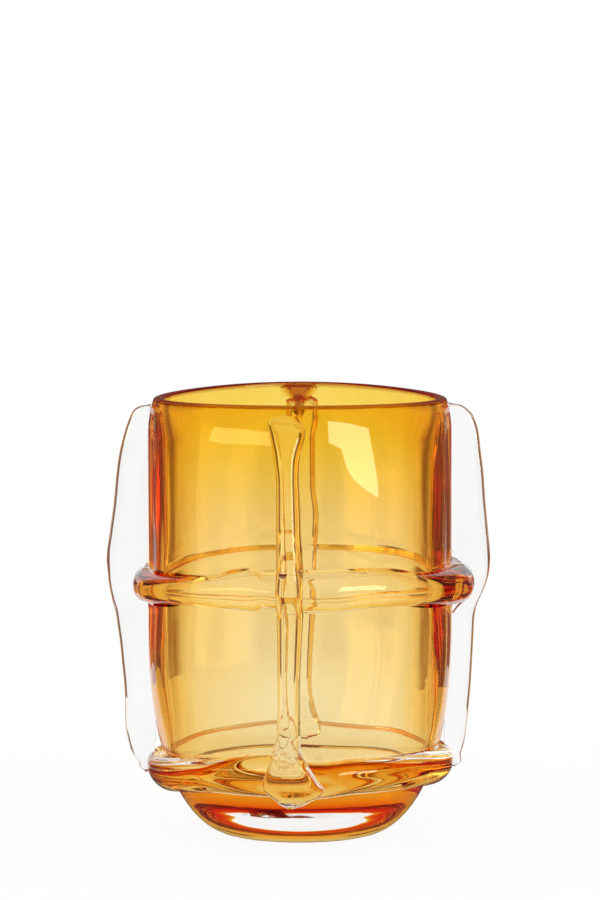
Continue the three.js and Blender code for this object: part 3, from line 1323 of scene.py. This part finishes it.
def mid_band(vessel: Vessel) -> Band:
    """The band round the middle, swollen beside the front rib.

    Args:
        vessel: What it is laid on.

    Returns:
        The band.
    """
    middle = (
        (-90, 114.0), (-69, 114.6), (-50, 116.2), (-34, 117.2), (-17, 118.6), (-5, 118.0), (12, 118.2),
        (25, 118.8), (45, 117.2), (67, 115.6), (90, 114.8),
    )
    half = (
        (-90, 7.6), (-60, 6.6), (-40, 6.6), (-26, 8.0), (-17, 9.2), (-13, 7.4), (-5, 8.4), (12, 9.0),
        (25, 8.4), (50, 7.6), (70, 8.2), (90, 9.4),
    )
    depth = ((-90, 7.0), (-60, 7.6), (-20, 8.6), (0, 8.5), (40, 8.6), (70, 9.2), (90, 10.4))
    courses = around_front(middle, 118.0), around_front(half, 7.8), around_front(depth, 8.5)
    return Band("mid_band_glass", vessel, *courses)


def lower_band(vessel: Vessel) -> Band:
    """The band round the bowl.

    Args:
        vessel: What it is laid on.

    Returns:
        The band.
    """
    middle = (
        (-90, 29.2), (-60, 30.6), (-42, 32.6), (-25, 34.0), (-11, 34.6), (5, 32.4), (25, 33.8), (55, 33.4),
        (90, 31.8),
    )
    half = (
        (-102, 8.6), (-90, 10.2), (-76, 8.8), (-60, 8.0), (-42, 7.8), (-25, 9.0), (-11, 9.8), (5, 8.6),
        (25, 8.2), (60, 8.2), (90, 8.8),
    )
    depth = ((-90, 9.6), (-60, 9.0), (90, 9.0))
    courses = around_front(middle, 33.4), around_front(half, 8.5), around_front(depth, 9.0)
    return Band("lower_band_glass", vessel, *courses)


def left_rib(vessel: Vessel, bands: tuple[Band, ...]) -> Rib:
    """The rib on the left, whose fin shows at the side of the vase.

    Args:
        vessel: What it is laid on.
        bands: The bands that it runs over.

    Returns:
        The rib.
    """
    outer = Course((
        (27.8, 67.0), (30, 70.8), (32.5, 72.7), (37, 76.3), (41.7, 77.8), (50.8, 79.4), (60, 79.5),
        (69, 79.9), (78, 80.8), (87.4, 81.7), (96.6, 83.0), (101, 83.6), (105.7, 84.9), (110.3, 85.9),
        (115, 86.8), (119.5, 87.2), (126.3, 87.7), (137.8, 86.3), (151.5, 84.4), (165, 83.1), (174.4, 81.7),
        (183.5, 79.4), (190.4, 76.9), (193.2, 75.2), (194.8, 72.5), (195.8, 67.4),
    ))
    left = Course((
        (27.8, -2.0), (31, -4.6), (36, -5.8), (60, -5.6), (150, -5.8), (185, -6.4), (192, -5.8),
        (195.8, -3.0),
    ))
    right = left.mirrored()
    return Rib("left_rib_glass", vessel, bands, 180.0, left, right, outer, squareness=8.0)


def right_rib(vessel: Vessel, bands: tuple[Band, ...]) -> Rib:
    """The rib on the right, whose fin shows at the side of the vase.

    Args:
        vessel: What it is laid on.
        bands: The bands that it runs over.

    Returns:
        The rib.
    """
    outer = Course((
        (30.6, 66.0), (32.5, 70.4), (37, 73.1), (41.7, 74.6), (50.8, 75.9), (60, 76.8), (69, 77.6),
        (78, 78.1), (87.4, 78.6), (96.6, 79.0), (101, 79.4), (105.7, 80.6), (110.3, 82.7), (115, 84.5),
        (119.5, 85.8), (126.3, 86.3), (137.8, 85.4), (151.5, 84.1), (165, 83.1), (174.4, 81.9),
        (183.5, 80.8), (190.4, 78.5), (193.1, 76.2), (195.4, 72.8), (196.4, 67.5),
    ))
    left = Course((
        (30.6, -2.0), (33, -4.6), (38, -5.6), (60, -5.4), (150, -5.6), (185, -6.2), (192, -5.8),
        (196.4, -3.0),
    ))
    right = left.mirrored()
    return Rib("right_rib_glass", vessel, bands, 0.0, left, right, outer, squareness=8.0)


def front_rib(vessel: Vessel, bands: tuple[Band, ...]) -> Rib:
    """The front rib, with its slanted flat head and its splayed foot.

    Args:
        vessel: What it is laid on.
        bands: The bands that it runs over.

    Returns:
        The rib.
    """
    left = Course((
        (19.4, -1.5), (21, -4.2), (24, -7.0), (26.8, -9.6), (30, -11.6), (33, -11.4), (38, -9.8),
        (43.4, -8.0), (48, -7.0), (54, -5.2), (71, -4.7), (94, -4.8), (110.6, -5.0), (124.5, -5.2),
        (144, -5.2), (160, -5.2), (170, -5.3), (175, -6.0), (181, -6.8), (185, -7.7), (189, -8.5),
        (192, -9.3), (194.2, -9.3), (195.6, -7.4), (196.6, -3.0),
    ))
    right = Course((
        (19.4, 1.5), (21, 6.0), (24, 10.6), (26.8, 14.5), (30, 15.6), (33, 13.6), (38, 10.2), (43.4, 6.4),
        (48, 5.2), (54, 5.2), (71, 5.2), (94, 5.9), (110.6, 6.8), (124.5, 6.8), (144, 5.6), (160, 5.0),
        (170, 4.6), (175, 4.8), (181, 5.6), (185, 6.8), (189, 7.6), (191, 7.0), (193.5, 4.8), (195.6, 1.8),
        (196.6, -1.0),
    ))
    outer = Course((
        (19.4, 60.0), (22, 64.5), (26, 70.0), (32, 73.5), (40, 76.0), (50, 77.6), (74, 79.5), (98, 80.1),
        (110, 82.5), (122, 84.1), (150, 81.5), (178, 79.6), (188, 77.5), (193, 74.5), (195.6, 70.5),
        (196.6, 67.5),
    ))
    return Rib("front_rib_glass", vessel, bands, 265.8, left, right, outer, over_band=3.0, steepest=3.0)


def back_rib(vessel: Vessel, bands: tuple[Band, ...]) -> Rib:
    """The rib at the back, which swells over the middle band.

    Args:
        vessel: What it is laid on.
        bands: The bands that it runs over.

    Returns:
        The rib.
    """
    left = Course((
        (28.6, -3.0), (32, -8.0), (37, -9.6), (48, -7.2), (60, -5.8), (110, -5.8), (126, -6.4), (140, -7.0),
        (152, -5.4), (175, -5.4), (186, -7.6), (192, -7.4), (196, -3.0),
    ))
    right = Course((
        (28.6, 3.0), (32, 8.6), (37, 10.0), (48, 7.0), (60, 5.6), (110, 5.8), (126, 5.6), (140, 5.0),
        (152, 5.4), (175, 5.6), (186, 8.0), (192, 7.6), (196, 3.0),
    ))
    outer = Course((
        (28.6, 64.0), (32, 71.0), (40, 75.0), (50, 77.6), (74, 79.5), (98, 80.1), (110, 82.5), (122, 84.1),
        (150, 81.5), (178, 79.6), (188, 77.5), (192.5, 74.0), (195, 70.0), (196, 67.0),
    ))
    return Rib("back_rib_glass", vessel, bands, 89.0, left, right, outer)


@dataclass(frozen=True)
class SoftBox:
    """A soft lamp that faces the vase, with its sizes in metres and its angles in degrees."""

    name: str
    bearing: float
    elevation: float
    distance: float
    width: float
    height: float
    power: float
    roll: float = 0.0
    colour: Colour = (1.0, 0.95, 0.72)
    through_glass: bool = True
    off_glass: bool = True
    aim_height: float = 0.1

    def build(self) -> None:
        """Hang the lamp."""
        turn, rise = math.radians(self.bearing), math.radians(self.elevation)
        aim = Vector((0, 0, self.aim_height))
        spot = aim + self.distance * Vector(
            (math.cos(rise) * math.cos(turn), math.cos(rise) * math.sin(turn), math.sin(rise))
        )
        data = bpy.data.lights.new(self.name, "AREA")
        data.shape = "RECTANGLE"
        data.size, data.size_y = self.width, self.height
        data.energy = self.power
        data.color = self.colour
        lamp = bpy.data.objects.new(self.name, data)
        lamp.location = spot
        facing = (aim - spot).to_track_quat("-Z", "Y")
        lamp.rotation_euler = (facing @ Quaternion((0, 0, 1), math.radians(self.roll))).to_euler()
        lamp.visible_transmission = self.through_glass
        lamp.visible_glossy = self.off_glass
        bpy.context.scene.collection.objects.link(lamp)


@dataclass
class Studio:
    """The pale floor, the soft lamps, the white surroundings and the camera.

    White screens stand every 45 degrees. Light through the glass finds them white up to their tops, and the
    gaps between them dim. A mirror ray off the outside finds them at the front and behind levels.
    """

    floor_size: float = 1.0
    floor_drop: float = 0.3
    screen_half_turn: float = 22.5
    screen_edge: Pair = (11.5, 18.5)
    screen_top: Pair = (0.65, 0.85)
    gaps_close: Pair = (-0.04, 0.06)
    front_level: float = 0.06
    behind_level: float = 0.2
    behind_from: Pair = (0.0, 0.35)
    gap_level: float = 0.2
    gap_colour: Colour = (1.0, 0.52, 0.4)
    gap_colour_fades: Pair = (0.1, 0.9)
    room_level: float = 0.05
    floor_light: float = 0.95
    lamps: tuple[SoftBox, ...] = (
        SoftBox("right_soft_box", 311.0, 9.5, 1.9, 1.1, 0.66, 20.0, -9.0, (1.0, 0.92, 0.56), False),
        SoftBox("left_soft_box", 224.0, 9.0, 1.9, 2.0, 0.3, 8.5, -10.0, (1.0, 0.84, 0.3), False),
        SoftBox("inner_soft_box", 208.0, 6.0, 1.9, 1.9, 1.0, 10.0, off_glass=False),
    )
    lens: float = 253.5
    camera_place: tuple[float, float, float] = (0.0, -2.861, 0.446)
    camera_pitch: float = 5.411

    def build(self, paper: bpy.types.Material) -> None:
        """Set up the studio.

        Args:
            paper: Finish of the floor.
        """
        select_nothing()
        bpy.ops.mesh.primitive_grid_add(
            x_subdivisions=8, y_subdivisions=8, size=self.floor_size, location=(0, 0, -self.floor_drop * MM)
        )
        floor = bpy.context.object
        floor.name = "floor"
        floor.data.materials.append(paper)
        for lamp in self.lamps:
            lamp.build()
        self.surroundings()
        self.camera()

    def surroundings(self) -> None:
        """Screens all round with gaps between them low down, dim overhead, and plain white to the eye."""
        world = bpy.data.worlds.new("studio")
        bpy.context.scene.world = world
        world.use_nodes = True
        tree = world.node_tree
        nodes, links = tree.nodes, tree.links
        split = nodes.new("ShaderNodeSeparateXYZ")
        links.new(nodes.new("ShaderNodeTexCoord").outputs["Generated"], split.inputs[0])
        x, y, z = split.outputs
        path = nodes.new("ShaderNodeLightPath").outputs

        def change(value: bpy.types.NodeSocket, places: Pair, values: Pair) -> bpy.types.NodeSocket:
            """A smooth change from one value to another between two places."""
            return ramp(tree, value, tuple(zip(places, values)))

        half_turn = math.radians(self.screen_half_turn)
        off_screen = maths(tree, "PINGPONG", maths(tree, "ARCTAN2", x, y), half_turn)
        edges = tuple(math.radians(angle) for angle in self.screen_edge)
        screens = change(off_screen, edges, (1, 0))
        screens = maths(tree, "MAXIMUM", screens, change(z, self.gaps_close, (0, 1)))
        lit = maths(tree, "MULTIPLY", screens, change(z, self.screen_top, (1, 0)))
        behind = change(y, self.behind_from, (self.front_level, self.behind_level))
        open_to = maths(tree, "MAXIMUM", behind, path["Is Transmission Ray"])
        level = maths(tree, "MULTIPLY", lit, open_to)
        above_room = self.gap_level - self.room_level
        dim = maths(tree, "MULTIPLY_ADD", path["Is Transmission Ray"], above_room, self.room_level)
        on_floor = maths(tree, "MULTIPLY", path["Is Diffuse Ray"], self.floor_light)
        for other in (dim, path["Is Camera Ray"], on_floor):
            level = maths(tree, "MAXIMUM", level, other)
        white = change(level, self.gap_colour_fades, (0, 1))
        background = nodes["Background"]
        links.new(mix_colours(tree, white, self.gap_colour, (1, 1, 1)), background.inputs["Color"])
        links.new(level, background.inputs["Strength"])

    def camera(self) -> None:
        """The camera at the photograph's height and angle."""
        data = bpy.data.cameras.new("camera")
        data.lens = self.lens
        data.sensor_fit = "AUTO"
        data.sensor_width = 36.0
        camera = bpy.data.objects.new("camera", data)
        camera.location = self.camera_place
        camera.rotation_euler = (math.radians(90 - self.camera_pitch), 0, 0)
        bpy.context.scene.collection.objects.link(camera)
        bpy.context.scene.camera = camera


def settle_light() -> None:
    """Let light pass through all the layers, and keep colours plain."""
    scene = bpy.context.scene
    scene.view_settings.view_transform = "Standard"
    scene.cycles.max_bounces = 32
    scene.cycles.transmission_bounces = 32
    scene.cycles.glossy_bounces = 16
    scene.cycles.transparent_max_bounces = 64


def main() -> None:
    """Build the vase in its studio and report each piece."""
    logging.basicConfig(level=logging.INFO, format="%(message)s")
    vessel = Vessel()
    clear = ClearGlass().material()
    amber = AmberGlass().material()
    bands = (lower_band(vessel), mid_band(vessel))
    ribs = {
        "front_rib": front_rib(vessel, bands),
        "back_rib": back_rib(vessel, bands),
        "left_rib": left_rib(vessel, bands),
        "right_rib": right_rib(vessel, bands),
    }
    made: list[tuple[bpy.types.Object, str, str]] = [
        (AmberLiner(vessel).build(amber), "amber_liner", "amber_glass"),
        (ClearCasing(vessel, (*bands, *ribs.values())).build(clear), "clear_casing", "clear_glass"),
    ]
    for band, node in zip(bands, ("lower_band", "mid_band")):
        band.ribs = tuple(ribs.values())
        made.append((band.build(clear), node, "clear_glass"))
    for node, rib in ribs.items():
        made.append((rib.build(clear), node, "clear_glass"))
    for piece, node, slot in made:
        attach(piece, "root")
        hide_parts(node)
        log.info("%s: %d faces, stands for %s", piece.name, len(piece.data.polygons), node)
    Studio().build(PalePaper().material())
    settle_light()


if __name__ == "__main__":
    main()
